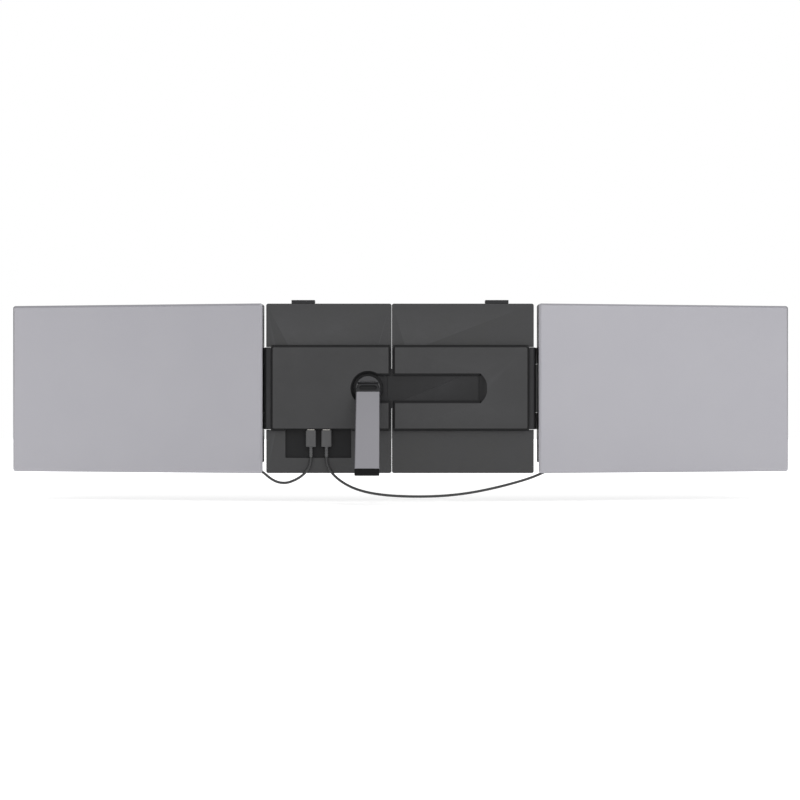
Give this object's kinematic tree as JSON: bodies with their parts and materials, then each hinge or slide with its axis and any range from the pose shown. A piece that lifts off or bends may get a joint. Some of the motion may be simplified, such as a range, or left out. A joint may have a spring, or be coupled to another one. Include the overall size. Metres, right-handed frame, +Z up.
{
  "type": "laptop screen extender",
  "caption": "Laptop screen extender: two hinged side screens on a sliding hook-on bracket with a swivelling stand and cables.",
  "frame": {"origin": "on the face of the middle seat pad that a laptop's lid rests on, midway between the two screen hinges", "axes": "+X along the bracket towards the sliding half, +Y out of the seat pads towards the user, +Z up"},
  "size_m": [0.9709, 0.1736, 0.2413],
  "materials": {
    "silver_metal": "fine matte anodised",
    "frame_plastic": "moulded, fine grain",
    "plate_plastic": "moulded, fine grain",
    "cover_plastic": "moulded, soft matte",
    "tray_plastic": "moulded, low friction",
    "rubber": "moulded, matte",
    "steel": "turned",
    "display_glass": "polished, switched off",
    "backlight": "layered film",
    "circuit_board": "solder mask",
    "port_metal": "stamped",
    "plug_plastic": "moulded",
    "cable_sheath": "extruded, satin",
    "vent_plastic": "moulded"
  },
  "bodies": {
    "root": {"left_plate": "plate_plastic", "left_cover": "cover_plastic", "slide_tray": "tray_plastic", "left_hinge_arm": "frame_plastic", "left_hinge_pin": "steel", "left_seat_pads": "rubber", "left_bracket_screws": "steel", "hub_board": "circuit_board", "hub_ports": "port_metal", "left_hub_plug": "plug_plastic", "right_hub_plug": "plug_plastic", "left_cable": "cable_sheath", "right_cable": "cable_sheath", "left_hook_spring": "steel"},
    "right_half": {"right_plate": "plate_plastic", "right_cover": "cover_plastic", "right_hinge_arm": "frame_plastic", "right_hinge_pin": "steel", "right_seat_pads": "rubber", "right_bracket_screws": "steel", "slide_shoes": "tray_plastic", "right_hook_spring": "steel"},
    "left_screen": {"left_screen_back": "silver_metal", "left_screen_frame": "frame_plastic", "left_edge_vents": "vent_plastic", "left_display_glass": "display_glass", "left_backlight_panel": "backlight", "left_driver_board": "circuit_board", "left_screen_port": "port_metal", "left_screen_plug": "plug_plastic", "left_hinge_leaf": "steel", "left_leaf_screws": "steel"},
    "right_screen": {"right_screen_back": "silver_metal", "right_screen_frame": "frame_plastic", "right_edge_vents": "vent_plastic", "right_display_glass": "display_glass", "right_backlight_panel": "backlight", "right_driver_board": "circuit_board", "right_screen_port": "port_metal", "right_screen_plug": "plug_plastic", "right_hinge_leaf": "steel", "right_leaf_screws": "steel"},
    "stand_hub": {"stand_hub": "frame_plastic", "stand_pin": "steel", "stand_washer": "steel", "stand_screw": "steel"},
    "stand_leg": {"stand_root": "frame_plastic", "stand_leg": "silver_metal", "stand_foot": "rubber"},
    "left_hook": {"left_hook": "frame_plastic", "left_hook_pad": "rubber"},
    "right_hook": {"right_hook": "frame_plastic", "right_hook_pad": "rubber"}
  },
  "joints": [
    {"name": "bracket_slide", "type": "slide", "parent": "root", "child": "right_half", "axis": [1, 0, 0], "range_m": [0, 0.06], "deforming": ["right_cable"]},
    {"name": "left_screen_hinge", "type": "hinge", "parent": "root", "child": "left_screen", "pos_m": [-0.165, 0.00075, 0], "axis": [0, 0, -1], "range_deg": [-12.5, 167.5], "deforming": ["left_cable"]},
    {"name": "right_screen_hinge", "type": "hinge", "parent": "right_half", "child": "right_screen", "pos_m": [0.165, 0.00775, 0], "axis": [0, 0, 1], "range_deg": [-12.5, 167.5], "deforming": ["right_cable"]},
    {"name": "stand_turn", "type": "hinge", "parent": "root", "child": "stand_hub", "pos_m": [-0.0389, -0.0088, 0], "axis": [0, -1, 0], "range_deg": [0, 90]},
    {"name": "stand_tilt", "type": "hinge", "parent": "stand_hub", "child": "stand_leg", "pos_m": [-0.0389, -0.0124, 0.0045], "axis": [-1, 0, 0], "range_deg": [-25, 35]},
    {"name": "left_hook_slide", "type": "slide", "parent": "root", "child": "left_hook", "axis": [0, 0, 1], "range_m": [0, 0.02], "stiffness_N_per_m": 120, "deforming": ["left_hook_spring"]},
    {"name": "right_hook_slide", "type": "slide", "parent": "right_half", "child": "right_hook", "axis": [0, 0, 1], "range_m": [0, 0.02], "stiffness_N_per_m": 120, "deforming": ["right_hook_spring"]}
  ]
}
